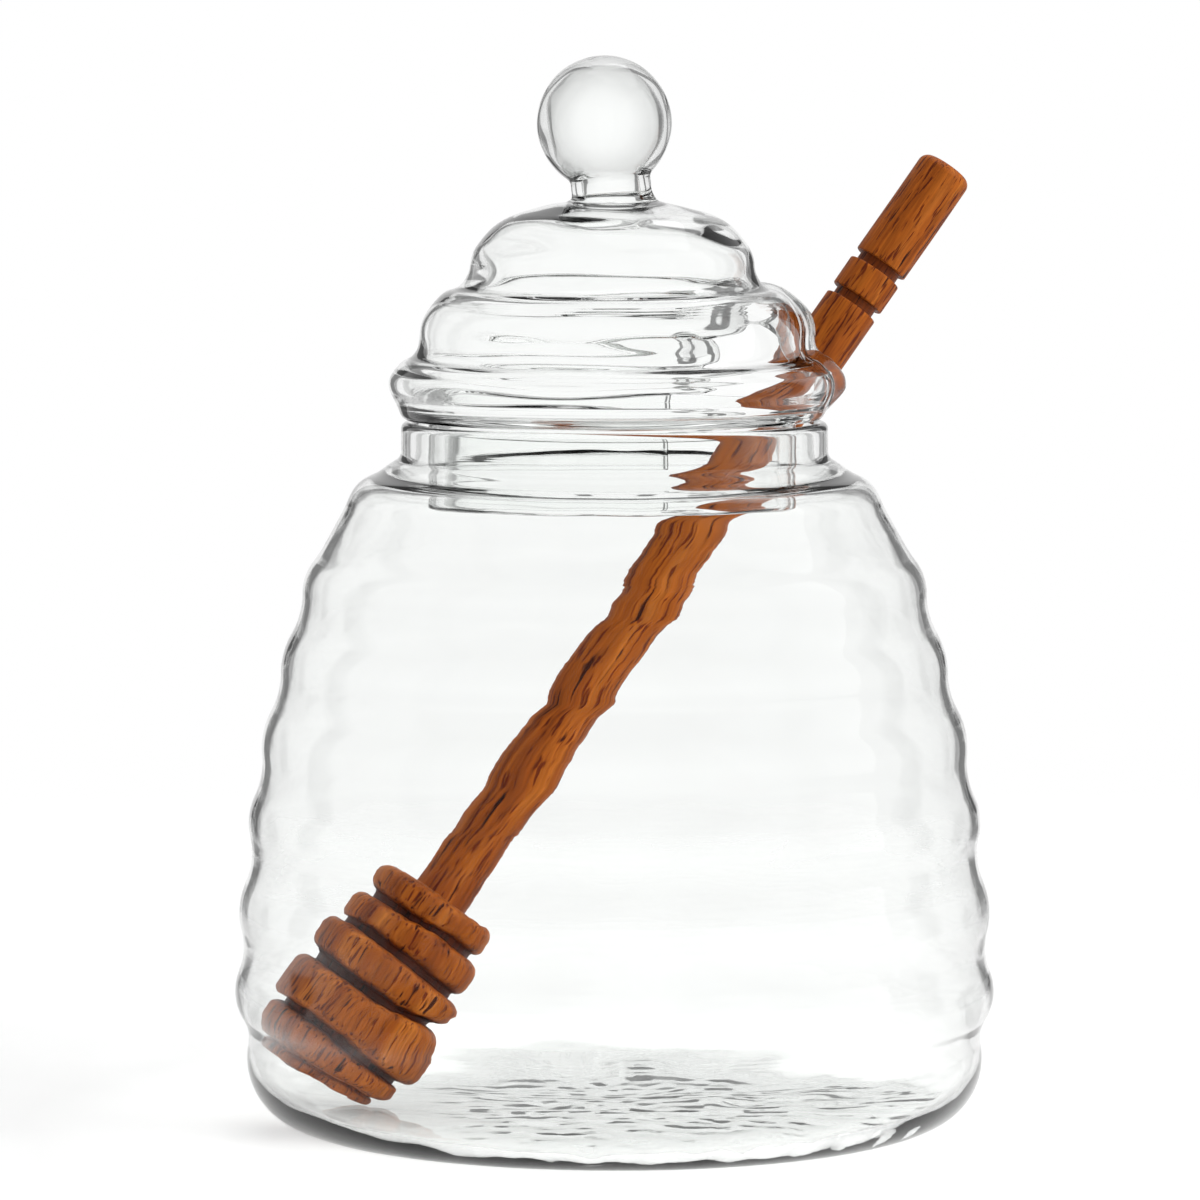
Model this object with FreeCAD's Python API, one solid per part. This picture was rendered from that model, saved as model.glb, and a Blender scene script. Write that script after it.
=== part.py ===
import FreeCAD, Part
import math
import os
from FreeCAD import Vector

# A honey pot of clear blown glass, shaped like a straw hive, with its loose lid and the
# turned wooden dipper that stands in it. Millimetres, +Z up. The origin is the middle of
# the pot's foot, on the table.

# ---------------------------------------------------------------- pot
widest_radius = 51.6        # at the fullest ring of the hive
hive_height = 83.4          # table to the crest of the topmost ring
hive_wall = 1.15            # glass in the lower rings
shoulder_wall = 1.5         # glass under the neck, where it is thicker
floor_thickness = 2.3
heel_radius = 8.6           # outside rounding between side and foot
neck_bore = 27.0            # inner radius of the mouth
neck_wall = 1.9
neck_height = 12.0          # from the topmost ring's crest to the rim
neck_radius = neck_bore + neck_wall

# The rings of the hive from the foot up. Each row is one ring's crest and the groove above
# it: height as a share of hive_height, then how far it lies inside the fullest ring.
hive_rings = (
    (0.1055, 1.50, 0.1475, 1.70),
    (0.2040, 0.00, 0.2915, 1.10),
    (0.3430, 0.55, 0.4410, 2.30),
    (0.4990, 1.90, 0.5685, 3.60),
    (0.6330, 3.80, 0.7160, 6.20),
    (0.7555, 6.45, 0.8420, 9.10),
    (0.8875, 9.50, 0.9450, 12.30),
)
top_ring_inset = 14.8       # crest of the topmost ring, inside the fullest ring
roll_inset = 1.9            # that ring rolls inwards this far
roll_rise = 3.4             # at this height over its crest
root_sweep = 2.3            # hollow sweep at the root of the neck, sideways and upwards

# ---------------------------------------------------------------- lid
lid_wall = 1.6
skirt_play = 2.1            # between the neck and the skirt that hangs in it
skirt_radius = neck_bore - skirt_play
skirt_wall = 2.2
skirt_drop = 11.0           # below the rim
skirt_tuck = 0.8            # hollow rounding between skirt and seat
skirt_lip = 1.2             # rounding inside, where the skirt meets the brim
seat_width = 2.7            # flat underside that sits on the rim
brim_overhang = 1.4         # lowest bulge, beyond the outside of the neck
brim_radius = neck_radius + brim_overhang
brim_rise = 4.9             # its crest above the seat
belly_inset = 4.2           # middle bulge, inside the lowest
belly_radius = brim_radius - belly_inset
belly_rise = 11.4
dome_inset = 6.9            # top dome, inside the middle bulge
dome_radius = belly_radius - dome_inset
dome_rise = 20.8
lid_height = 29.6           # seat to the top of the dome
# Points between those crests, as (share of the way out, share of the way down).
dome_curve = ((0.50, 0.10), (0.83, 0.40))
dome_to_belly = ((0.15, 0.26), (0.60, 0.44))
belly_to_brim = ((0.15, 0.40), (0.66, 0.62))
brim_to_seat = (0.33, 0.51)     # the first is the share of the way in
knob_radius = 9.1
knob_wall = 1.15
knob_rise = 10.4            # dome top to the centre of the ball
stem_radius = 5.4           # waist between ball and dome
stem_bore = 3.9
stem_sweep = 1.5            # hollow sweep where the stem spreads into the dome
ball_sweep = 1.2            # and where it meets the ball
knob_lean = 6.0             # degrees, towards -X
lid_shift = 0.3             # the loose lid sits this far off the middle, towards -X

# Notch in the lid's edge that lets the dipper out, drawn as an arch. Each side also has one
# point between its foot and the peak, as (share of the half width, share of the height).
notch_front = 11.5          # half width on the side nearer -Y
notch_back = 17.0           # half width on the other side
front_curve = (0.75, 0.50)
back_curve = (0.66, 0.50)
notch_headroom = 3.6        # free height over the dipper where it passes the middle bulge
notch_swing = 10.0          # degrees from the dipper's bearing to the peak of the arch

# ---------------------------------------------------------------- dipper
dipper_length = 151.0
handle_radius = 3.9
handle_dome = 1.3           # rounding of the top end
handle_groove_depth = 0.8
handle_groove_width = 1.35
handle_grooves = (16.2, 21.9)   # from the top end down to each groove
ring_rounding = 1.6         # of the rims of the head's rings
most_rounding = 0.42        # but never more than this share of a ring's thickness
# The rings of the head from the tip up: distance of the middle from the tip, thickness,
# radius, and how deep the groove above it goes below the smaller ring beside that groove.
head_rings = (
    (0.75, 1.50, 8.5, 0.5),
    (3.80, 3.90, 10.4, 1.5),
    (10.1, 6.60, 11.5, 2.1),
    (16.95, 4.80, 11.1, 1.5),
    (22.5, 4.20, 10.1, 1.3),
    (27.7, 4.20, 9.1, 0.0),
)
dipper_bearing = 14.5       # degrees from +X towards +Y, of the side it leans to

# ---------------------------------------------------------------- fits
seat_gap = 0.3              # between pieces that only rest on one another

# ---------------------------------------------------------------- drawing
straight_rise = 1e-4        # an arc that rises less than this is drawn as a line
smallest = 1e-6             # lengths below this count as nothing
level_rise = 0.2            # a ring of the knob that rises less than this counts as level
ring_slack = 0.02           # share by which such a ring's length may differ
seam_bearing = 180.0        # where a turned face closes on itself, away from the notch
UP = Vector(0, 0, 1)


def point(radius, height):
    """A point of a turned outline, drawn in the XZ plane."""
    return Vector(radius, 0, height)


def directions(points, start, end):
    """The heading at each point: that of the circle through it and its two neighbours."""
    headings = [start]
    for before, here, after in zip(points, points[1:], points[2:]):
        arriving, leaving = here - before, after - here
        heading = arriving / arriving.Length ** 2 + leaving / leaving.Length ** 2
        headings.append(heading.normalize())
    return headings + [end]


def half_arc(start, corner_point, end):
    """One arc from start to end that is tangent to the lines through corner_point."""
    chord = end - start
    middle = (start + end) * 0.5
    height = (corner_point - middle).Length
    if height < straight_rise:
        return line(start, end)
    half = chord.Length / 2
    rise = half * math.tan(math.atan2(height, half) / 2)
    return arc(start, middle + (corner_point - middle) * (rise / height), end)


def flowing(points, headings):
    """Tangent arcs, two from each point to the next, so that the outline has no kink."""
    edges = []
    for start, end, leave, arrive in zip(points, points[1:], headings, headings[1:]):
        span, turn = end - start, leave + arrive
        bend = 4 - turn.dot(turn)
        along = span.dot(turn)
        if bend < smallest:
            arm = span.dot(span) / (2 * along)
        else:
            arm = (math.sqrt(along * along + bend * span.dot(span)) - along) / bend
        first_corner, second_corner = start + leave * arm, end - arrive * arm
        joint = (first_corner + second_corner) * 0.5
        edges += [half_arc(start, first_corner, joint), half_arc(joint, second_corner, end)]
    return edges


def inner_face(points, headings, walls):
    """The points of a wall's inner face, to the right of the way the outline runs."""
    across = [Vector(-heading.z, 0, heading.x) for heading in headings]
    return [here - side * wall for here, side, wall in zip(points, across, walls)]


def arc(start, middle, end):
    return Part.Arc(start, middle, end).toShape()


def line(start, end):
    return Part.LineSegment(start, end).toShape()


def corner(centre, radius, degrees):
    """The point of a circle in the XZ plane at an angle from +X."""
    turn = math.radians(degrees)
    return Vector(centre.x + radius * math.cos(turn), 0, centre.z + radius * math.sin(turn))


def turned(edges):
    """The solid that a closed outline in the XZ plane sweeps round the Z axis."""
    wire = Part.Wire(Part.__sortEdges__(edges))
    solid = Part.Face(wire).revolve(Vector(), UP, 360)
    solid.rotate(Vector(), UP, seam_bearing)
    return solid


def radius_at(points, height):
    """The radius of an outline, given as points in order, at a height."""
    for low, high in zip(points, points[1:]):
        if min(low.z, high.z) <= height <= max(low.z, high.z) and low.z != high.z:
            share = (height - low.z) / (high.z - low.z)
            return low.x + (high.x - low.x) * share
    return points[0].x


# ---------------------------------------------------------------- pot
rim_height = hive_height + neck_height
foot_height = hive_height * hive_rings[0][0]
foot_radius = widest_radius - hive_rings[0][1]
heel = min(heel_radius, foot_height)


def hive_outline():
    """The hive from the root of the neck down to the foot ring: points, headings, walls."""
    crest = point(widest_radius - top_ring_inset, hive_height)
    roll = crest + point(-roll_inset, roll_rise)
    sweep = point(neck_radius + root_sweep, roll.z + root_sweep)
    root = point(neck_radius, sweep.z + root_sweep)
    points = [root, sweep, roll, crest]
    walls = [neck_wall, neck_wall, shoulder_wall, shoulder_wall]
    for count, ring in enumerate(reversed(hive_rings)):
        crest_share, crest_inset, groove_share, groove_inset = ring
        points.append(point(widest_radius - groove_inset, hive_height * groove_share))
        points.append(point(widest_radius - crest_inset, hive_height * crest_share))
        fall = min(count / 3, 1)
        walls += [shoulder_wall + (hive_wall - shoulder_wall) * fall] * 2
    return points, directions(points, -UP, -UP), walls


outer_points, hive_headings, hive_walls = hive_outline()
inner_points = inner_face(outer_points, hive_headings, hive_walls)


def make_pot():
    """One closed wall: heel, hive, neck and rounded rim, and back down the inside."""
    outer_root, outer_foot = outer_points[0], outer_points[-1]
    inner_root, inner_foot = inner_points[0], inner_points[-1]
    heel_centre = point(foot_radius - heel, heel)
    inner_heel = foot_height - floor_thickness
    inner_centre = point(inner_foot.x - inner_heel, foot_height)
    lip = neck_wall / 2
    rim_outer = point(neck_radius, rim_height - lip)
    rim_inner = point(neck_bore, rim_height - lip)
    edges = [
        line(point(0, 0), point(foot_radius - heel, 0)),
        arc(point(foot_radius - heel, 0), corner(heel_centre, heel, -45),
            point(foot_radius, heel)),
        line(outer_root, rim_outer),
        arc(rim_outer, point(neck_radius - lip, rim_height), rim_inner),
        line(rim_inner, inner_root),
        arc(inner_foot, corner(inner_centre, inner_heel, -45),
            point(inner_centre.x, floor_thickness)),
        line(point(inner_centre.x, floor_thickness), point(0, floor_thickness)),
        line(point(0, floor_thickness), point(0, 0)),
    ]
    if foot_height - heel > smallest:
        edges.append(line(point(foot_radius, heel), outer_foot))
    edges += flowing(outer_points, hive_headings)
    edges += flowing(inner_points, hive_headings)
    return turned(edges)


# ---------------------------------------------------------------- dipper: its lean in the pot
def rim_rounding(thickness):
    """The rounding of a ring of the head."""
    return min(ring_rounding, thickness * most_rounding)


def dipper_corners():
    """The dipper's widest places as (distance from the tip, radius, rounding about it)."""
    corners = []
    for middle, thickness, radius, _ in head_rings:
        rounding = rim_rounding(thickness)
        for end in (-1, 1):
            corners.append((middle + end * (thickness / 2 - rounding), radius - rounding, rounding))
    return corners


def tip_place(lean):
    """Where the tip stands when the head lies on the floor and against the wall."""
    sine, cosine = math.sin(lean), math.cos(lean)
    tip_height = max(floor_thickness + seat_gap + rounding - along * cosine + radius * sine
                     for along, radius, rounding in dipper_corners())
    tip_across = -widest_radius
    for along, radius, rounding in dipper_corners():
        height = tip_height + along * cosine + radius * sine
        reach = radius_at(inner_points, height) - rounding - seat_gap
        tip_across = max(tip_across, radius * cosine - along * sine - reach)
    return tip_across, tip_height


def rim_clearance(lean):
    """Gap between the handle and the round of the rim that it leans on."""
    tip_across, tip_height = tip_place(lean)
    lip = neck_wall / 2
    across = neck_bore + lip - tip_across
    height = rim_height - lip - tip_height
    off_axis = across * math.cos(lean) - height * math.sin(lean)
    return off_axis - handle_radius - lip


def find_lean():
    """The lean, in radians, at which the handle comes to rest on the rim."""
    upright, flat = math.radians(2), math.radians(75)
    while flat - upright > smallest:
        middle = (upright + flat) / 2
        if rim_clearance(middle) > seat_gap:
            upright = middle
        else:
            flat = middle
    return upright


lean = find_lean()
tip_across, tip_height = tip_place(lean)


def make_dipper():
    """The turned stick, drawn upright with its tip at the origin, then laid in the pot."""
    stick = Part.makeCylinder(handle_radius, dipper_length - head_rings[0][0],
                              Vector(0, 0, head_rings[0][0]))
    top_edges = [edge for edge in stick.Edges if edge.BoundBox.ZMin > dipper_length - handle_dome]
    stick = stick.makeFillet(handle_dome, top_edges)
    for down in handle_grooves:
        groove = Part.makeCylinder(handle_radius * 2, handle_groove_width,
                                   Vector(0, 0, dipper_length - down - handle_groove_width))
        core = Part.makeCylinder(handle_radius - handle_groove_depth, dipper_length)
        stick = stick.cut(groove.cut(core))
    pieces = []
    for below, above in zip(head_rings, head_rings[1:]):
        core_radius = min(below[2], above[2]) - below[3]
        pieces.append(Part.makeCylinder(core_radius, above[0] - below[0], Vector(0, 0, below[0])))
    for middle, thickness, radius, _ in head_rings:
        ring = Part.makeCylinder(radius, thickness, Vector(0, 0, middle - thickness / 2))
        rims = [edge for edge in ring.Edges if isinstance(edge.Curve, Part.Circle)]
        pieces.append(ring.makeFillet(rim_rounding(thickness), rims))
    stick = stick.fuse(pieces).removeSplitter()
    stick.rotate(Vector(), Vector(0, 1, 0), math.degrees(lean))
    stick.translate(Vector(tip_across, 0, tip_height))
    stick.rotate(Vector(), UP, dipper_bearing)
    return stick


# ---------------------------------------------------------------- lid
seat_height = rim_height + seat_gap
dome_top = seat_height + lid_height


def part_way(start, end, outward, downward):
    """A point that is one share of the way across to the next and another share down."""
    return point(start.x + (end.x - start.x) * outward, start.z + (end.z - start.z) * downward)


def lid_outline():
    """The lid's outside from the top of the dome down to its seat: points and headings."""
    crest = point(0, dome_top)
    dome = point(dome_radius, seat_height + dome_rise)
    belly = point(belly_radius, seat_height + belly_rise)
    brim = point(brim_radius, seat_height + brim_rise)
    seat = point(skirt_radius + seat_width, seat_height)
    points = [crest]
    for start, end, between in ((crest, dome, dome_curve), (dome, belly, dome_to_belly),
                                (belly, brim, belly_to_brim)):
        points += [part_way(start, end, *shares) for shares in between] + [end]
    points += [part_way(brim, point(brim.x - seat_width, seat.z), *brim_to_seat), seat]
    headings = directions(points, Vector(1, 0, 0), Vector(-1, 0, 0))
    for crest in (3, 6, 9):
        headings[crest] = -UP
    return points, headings


def make_lid_body(outer, headings):
    """Everything inside the lid's outer face, skirt included, as one turned solid."""
    half = skirt_wall / 2
    skirt_end = rim_height - skirt_drop
    tuck_centre = point(skirt_radius + skirt_tuck, seat_height - skirt_tuck)
    edges = [
        line(outer[-1], point(tuck_centre.x, seat_height)),
        arc(point(tuck_centre.x, seat_height), corner(tuck_centre, skirt_tuck, 135),
            point(skirt_radius, tuck_centre.z)),
        line(point(skirt_radius, tuck_centre.z), point(skirt_radius, skirt_end + half)),
        arc(point(skirt_radius, skirt_end + half), corner(point(skirt_radius - half, skirt_end + half),
            half, -45), point(skirt_radius - half, skirt_end)),
        line(point(skirt_radius - half, skirt_end), point(0, skirt_end)),
        line(point(0, skirt_end), outer[0]),
    ]
    return turned(edges + flowing(outer, headings))


def make_lid_hollow(outer, headings):
    """The hollow of the lid, from the dome down through the skirt and out below it."""
    inner = inner_face(outer, headings, [lid_wall] * len(outer))
    skirt_inside = skirt_radius - skirt_wall
    half = skirt_wall / 2
    skirt_end = rim_height - skirt_drop
    below = skirt_end - lid_wall
    seat_inner = inner[-1]
    lip_centre = point(skirt_inside + skirt_lip, seat_inner.z - skirt_lip)
    edges = [
        line(seat_inner, point(lip_centre.x, seat_inner.z)),
        arc(point(lip_centre.x, seat_inner.z), corner(lip_centre, skirt_lip, 135),
            point(skirt_inside, lip_centre.z)),
        line(point(skirt_inside, lip_centre.z), point(skirt_inside, skirt_end + half)),
        arc(point(skirt_inside, skirt_end + half),
            corner(point(skirt_inside + half, skirt_end + half), half, 225),
            point(skirt_inside + half, skirt_end)),
        line(point(skirt_inside + half, skirt_end), point(skirt_inside + half, below)),
        line(point(skirt_inside + half, below), point(0, below)),
        line(point(0, below), inner[0]),
    ]
    return turned(edges + flowing(inner, headings))


def goes_round(edge, radius):
    """Whether an edge is a level ring of this radius."""
    length = 2 * math.pi * radius
    return edge.BoundBox.ZLength < level_rise and abs(edge.Length - length) < length * ring_slack


def with_knob(body, ball_radius, post_radius, low):
    """A body of the lid with a ball on a waisted post, leaning, joined in hollow sweeps."""
    ball_height = dome_top + knob_rise
    post = Part.makeCylinder(post_radius, ball_height - low, point(0, low))
    ball = Part.makeSphere(ball_radius, point(0, ball_height))
    knob = ball.fuse(post)
    neck = [edge for edge in knob.Edges if goes_round(edge, post_radius)
            and edge.BoundBox.ZMin > dome_top]
    knob = knob.makeFillet(ball_sweep, neck)
    knob.rotate(Vector(), UP, seam_bearing)
    knob.rotate(point(0, dome_top), Vector(0, 1, 0), -knob_lean)
    joined = body.fuse(knob).removeSplitter()
    root = [edge for edge in joined.Edges if goes_round(edge, post_radius)]
    return joined.makeFillet(stem_sweep, root)


def notch_cutter():
    """An arch that runs outwards through the lid's wall where the dipper leaves it."""
    belly_crossing = belly_radius - tip_across
    handle_top = tip_height + belly_crossing / math.tan(lean) + handle_radius / math.sin(lean)
    peak = handle_top + notch_headroom
    spring = seat_height + brim_rise
    rise = max(peak - spring, handle_radius)
    low = rim_height - skirt_drop - lid_wall
    inward, outward = neck_bore / 2, widest_radius
    front, back = -notch_front, notch_back
    points = [point(front, spring),
              point(front * front_curve[0], spring + rise * front_curve[1]),
              point(0, spring + rise),
              point(back * back_curve[0], spring + rise * back_curve[1]),
              point(back, spring)]
    edges = flowing(points, directions(points, UP, -UP))
    edges += [line(points[-1], point(back, low)), line(point(back, low), point(front, low)),
              line(point(front, low), points[0])]
    arch = Part.Face(Part.Wire(Part.__sortEdges__(edges)))
    arch.rotate(Vector(), UP, 90)
    arch.translate(Vector(inward, 0, 0))
    cutter = arch.extrude(Vector(outward, 0, 0))
    cutter.rotate(Vector(), UP, dipper_bearing + notch_swing)
    return cutter


def make_lid():
    """The lid: its outer body less the hollow inside it and the notch."""
    outer, headings = lid_outline()
    lid = with_knob(make_lid_body(outer, headings), knob_radius, stem_radius, dome_top - lid_wall)
    hollow = with_knob(make_lid_hollow(outer, headings), knob_radius - knob_wall, stem_bore,
                       dome_top - lid_wall * 3)
    lid = lid.cut(hollow).cut(notch_cutter()).removeSplitter()
    lid.translate(Vector(-lid_shift, 0, 0))
    return lid


os.makedirs("parts", exist_ok=True)
pieces = {"jar": make_pot(), "lid": make_lid(), "dipper": make_dipper()}
for name, shape in pieces.items():
    print(name, len(shape.Solids), "solid, valid", shape.isValid(), "volume", round(shape.Volume))
    shape.Solids[0].exportStep("parts/" + name + ".step")
print("the dipper leans", round(math.degrees(lean), 1), "degrees")
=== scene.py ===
# %% [markdown]
# A honey pot of clear blown glass, shaped like a straw hive, with a loose notched lid and a
# turned wooden dipper. The three pieces come in as plain solids from the CAD frame. The glass
# could be shown on those solids directly, but their facets would show in every refraction, so
# all three are made again here as fine meshes with the same sections.

# %% The frame
import math

import bmesh
import bpy
import numpy as np
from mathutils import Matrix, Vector
from mathutils.kdtree import KDTree


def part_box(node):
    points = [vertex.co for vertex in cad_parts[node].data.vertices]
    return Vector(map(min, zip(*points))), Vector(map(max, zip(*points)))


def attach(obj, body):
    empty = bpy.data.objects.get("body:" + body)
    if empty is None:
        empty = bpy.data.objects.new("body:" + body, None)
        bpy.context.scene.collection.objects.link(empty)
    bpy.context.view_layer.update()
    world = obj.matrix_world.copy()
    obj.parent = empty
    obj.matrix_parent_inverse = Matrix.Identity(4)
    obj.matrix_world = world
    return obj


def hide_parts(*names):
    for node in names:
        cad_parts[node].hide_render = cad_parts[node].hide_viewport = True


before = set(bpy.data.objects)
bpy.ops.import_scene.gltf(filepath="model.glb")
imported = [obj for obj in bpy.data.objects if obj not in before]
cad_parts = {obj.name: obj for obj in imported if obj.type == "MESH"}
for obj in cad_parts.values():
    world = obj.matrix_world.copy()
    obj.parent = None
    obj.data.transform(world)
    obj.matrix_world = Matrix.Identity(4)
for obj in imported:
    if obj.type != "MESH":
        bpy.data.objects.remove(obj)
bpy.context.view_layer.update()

MM = 0.001
pot_low, pot_high = (np.array(corner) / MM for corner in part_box("jar"))
lid_low, lid_high = (np.array(corner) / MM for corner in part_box("lid"))
print("pot, mm:", (pot_high - pot_low).round(1), "lid, mm:", (lid_high - lid_low).round(1))

# %% [markdown]
# Blown glass has no kinks: its section is a chain of arcs that run into one another. Such a
# chain could be drawn as a Bezier curve and spun with the Screw modifier. Here two arcs join
# each point to the next, worked out from the headings at the points, because the CAD solids are
# drawn the same way and the fine mesh then lies exactly on them. All sections are in
# millimetres, as (radius, height).

# %% A chain of arcs
tiny = 1e-9                 # keeps a division off zero
straight_on = 1e-6          # below this the two headings are one and the same


def unit(vector):
    return vector / np.hypot(*vector)


def headings_along(points, first, last):
    """The heading at each point: that of the circle through it and its two neighbours."""
    found = [np.array(first, float)]
    for before, here, after in zip(points, points[1:], points[2:]):
        arriving, leaving = here - before, after - here
        found.append(unit(arriving / arriving.dot(arriving) + leaving / leaving.dot(leaving)))
    return found + [np.array(last, float)]


def inwards(points, headings, walls):
    """The points of the inner face, each one wall in from its outer point."""
    return [here - np.array([-heading[1], heading[0]]) * wall
            for here, heading, wall in zip(points, headings, walls)]


def one_arc(start, corner, end, count):
    """Points from start on towards end, on the arc tangent to the lines through corner."""
    share = np.linspace(0, 1, count, endpoint=False)[:, None]
    weight = np.hypot(*(end - start)) / 2 / max(np.hypot(*(corner - start)), tiny)
    blend = (1 - share) ** 2, 2 * weight * share * (1 - share), share ** 2
    return (blend[0] * start + blend[1] * corner + blend[2] * end) / sum(blend)


def flowing(points, headings, count):
    """Points along two tangent arcs from each point to the next, without the last point."""
    rows = []
    for start, end, leave, arrive in zip(points, points[1:], headings, headings[1:]):
        span, turn = end - start, leave + arrive
        bend, along = 4 - turn.dot(turn), span.dot(turn)
        if bend < straight_on:
            arm = span.dot(span) / (2 * along)
        else:
            arm = (math.sqrt(along ** 2 + bend * span.dot(span)) - along) / bend
        first, second = start + leave * arm, end - arrive * arm
        middle = (first + second) / 2
        rows += [one_arc(start, first, middle, count), one_arc(middle, second, end, count)]
    return np.vstack(rows)


def straight(start, end, count):
    return np.linspace(start, end, count, endpoint=False)


def quarter(centre, radius, first, last, count):
    """Points of a round corner, from one angle to another in degrees, without the last."""
    angles = np.radians(np.linspace(first, last, count, endpoint=False))
    return np.array(centre) + radius * np.column_stack([np.cos(angles), np.sin(angles)])


print("a quarter of a circle:", quarter((0, 0), 1, 0, 90, 3).round(2).tolist())

# %% [markdown]
# A turned piece could be spun with the Screw modifier, which keeps it perfectly round. Here the
# section is swept into a grid of points first, one row for each point of the section and one
# column for each turn, so that every point can still be moved before the mesh is made. The grid
# closes on itself where points fall together, and is then welded into one surface.

# %% From a grid of points to a piece
def spin(section, columns):
    """The grid of points that a section sweeps round the axis, and its angles."""
    turn = np.linspace(0, math.tau, columns, endpoint=False)
    radius, height = section[:, :1], section[:, 1:]
    grid = np.dstack([radius * np.cos(turn), radius * np.sin(turn), height + 0 * turn])
    return grid, turn


def grid_faces(rows, columns, closed):
    """Four-cornered faces between the points of a grid, closed round the axis or open."""
    here = np.arange(columns if closed else columns - 1)
    beside = (here + 1) % columns
    start = np.arange(rows - 1)[:, None] * columns
    corners = [start + here, start + beside, start + beside + columns, start + here + columns]
    return np.stack(corners, axis=-1).reshape(-1, 4)


def smooth_piece(name, points, faces, weld, sliver, shade=None):
    """A smooth piece from points in mm, welded, and shade, an attribute's name and values."""
    mesh = bpy.data.meshes.new(name)
    mesh.from_pydata((points * MM).tolist(), [], faces.tolist())
    if shade:
        mesh.attributes.new(shade[0], "FLOAT", "POINT").data.foreach_set("value", shade[1])
    piece = bpy.data.objects.new(name, mesh)
    bpy.context.scene.collection.objects.link(piece)
    work = bmesh.new()
    work.from_mesh(mesh)
    bmesh.ops.remove_doubles(work, verts=work.verts, dist=weld * MM)
    bmesh.ops.dissolve_degenerate(work, edges=work.edges, dist=sliver * MM)
    bmesh.ops.recalc_face_normals(work, faces=work.faces)
    for face in work.faces:
        face.smooth = True
    work.to_mesh(mesh)
    work.free()
    return piece


def turned_piece(name, grid):
    rows, columns = grid.shape[:2]
    faces = grid_faces(rows, columns, closed=True)
    return smooth_piece(name, grid.reshape(-1, 3), faces, weld=1e-3, sliver=1e-4)


def report(piece):
    """Prints how many triangles a piece has and whether its surface is closed."""
    work = bmesh.new()
    work.from_mesh(piece.data)
    triangles = sum(len(face.verts) - 2 for face in work.faces)
    open_edges = sum(not edge.is_manifold for edge in work.edges)
    print(piece.name, "triangles", triangles, "open edges", open_edges,
          "volume ml", round(work.calc_volume() * 1e6, 2))
    work.free()


print("a grid of 3 rows and 4 columns has", len(grid_faces(3, 4, closed=True)), "faces")

# %% [markdown]
# Hand-worked glass is never quite even: its walls wave by a few hundredths of a millimetre, and
# this bends what is seen through them. A Noise texture on a Displace modifier would do it, but a
# sum of a few smooth waves, seeded so that it is the same each time, closes round the pot with
# no seam.

# %% Uneven surfaces
wave_peak = 1.6             # the sum of the waves seldom passes this many times its mean size


def waves(turn, along, seed, rounds, length, count=14):
    """A smooth uneven field from -1 to 1: turn is the angle, along a distance in mm."""
    random = np.random.default_rng(seed)
    field = 0
    for _ in range(count):
        times = random.integers(rounds[0], rounds[1] + 1)
        pitch = math.tau / random.uniform(*length) * random.choice([-1, 1])
        field = field + np.sin(turn * times + along * pitch + random.uniform(0, math.tau))
    return field / math.sqrt(count) / wave_peak


def flat_waves(x, y, seed, length, count=16):
    """A smooth uneven field over a flat surface, from -1 to 1."""
    random = np.random.default_rng(seed)
    field = 0
    for _ in range(count):
        heading = random.uniform(0, math.tau)
        pitch = math.tau / random.uniform(*length)
        across = x * math.cos(heading) + y * math.sin(heading)
        field = field + np.sin(across * pitch + random.uniform(0, math.tau))
    return field / math.sqrt(count) / wave_peak


def smooth(share):
    """0 to 1, leaving and arriving gently."""
    share = np.clip(share, 0, 1)
    return share * share * (3 - 2 * share)


def line_length(points):
    """The distance run along a line of points, up to each of them."""
    return np.cumsum(np.r_[0, np.hypot(*np.diff(points, axis=0).T)])


print("smooth steps:", smooth(np.linspace(0, 1, 5)).round(2).tolist())

# %% [markdown]
# The pot. On the real one a gather of glass is blown into a ringed mould, so the wall is thin
# and even in the hive and thicker at the neck and the foot. Its section is drawn from the crest
# and the groove of each ring, because those are what the mould has. The inner face follows the
# same points, one wall thickness further in.

# %% The section of the pot
widest_radius, hive_height = 51.6, 83.4
hive_wall, shoulder_wall, floor_thickness = 1.15, 1.5, 2.3
heel_radius = 8.6
neck_bore, neck_wall = 27.0, 1.9
neck_radius = neck_bore + neck_wall
rim_height = pot_high[2]
top_ring_inset, roll_inset, roll_rise, root_sweep = 14.8, 1.9, 3.4, 2.3
thinning_rings = 3          # over which the shoulder's wall thins down to the hive's
# Each ring: its crest's share of the hive's height and how far it lies in from the widest
# radius, then the same two for the groove above it.
hive_rings = (
    (0.1055, 1.50, 0.1475, 1.70),
    (0.2040, 0.00, 0.2915, 1.10),
    (0.3430, 0.55, 0.4410, 2.30),
    (0.4990, 1.90, 0.5685, 3.60),
    (0.6330, 3.80, 0.7160, 6.20),
    (0.7555, 6.45, 0.8420, 9.10),
    (0.8875, 9.50, 0.9450, 12.30),
)


def hive_section():
    """The outer and inner points and their headings, from the neck's root to the foot ring."""
    crest = np.array([widest_radius - top_ring_inset, hive_height])
    roll = crest + [-roll_inset, roll_rise]
    sweep = np.array([neck_radius + root_sweep, roll[1] + root_sweep])
    root = np.array([neck_radius, sweep[1] + root_sweep])
    points, walls = [root, sweep, roll, crest], [neck_wall] * 2 + [shoulder_wall] * 2
    for count, ring in enumerate(reversed(hive_rings)):
        crest_share, crest_inset, groove_share, groove_inset = ring
        points.append(np.array([widest_radius - groove_inset, hive_height * groove_share]))
        points.append(np.array([widest_radius - crest_inset, hive_height * crest_share]))
        thinned = min(count / thinning_rings, 1)
        walls += [shoulder_wall + (hive_wall - shoulder_wall) * thinned] * 2
    headings = headings_along(points, (0, -1), (0, -1))
    return points, inwards(points, headings, walls), headings


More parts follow.
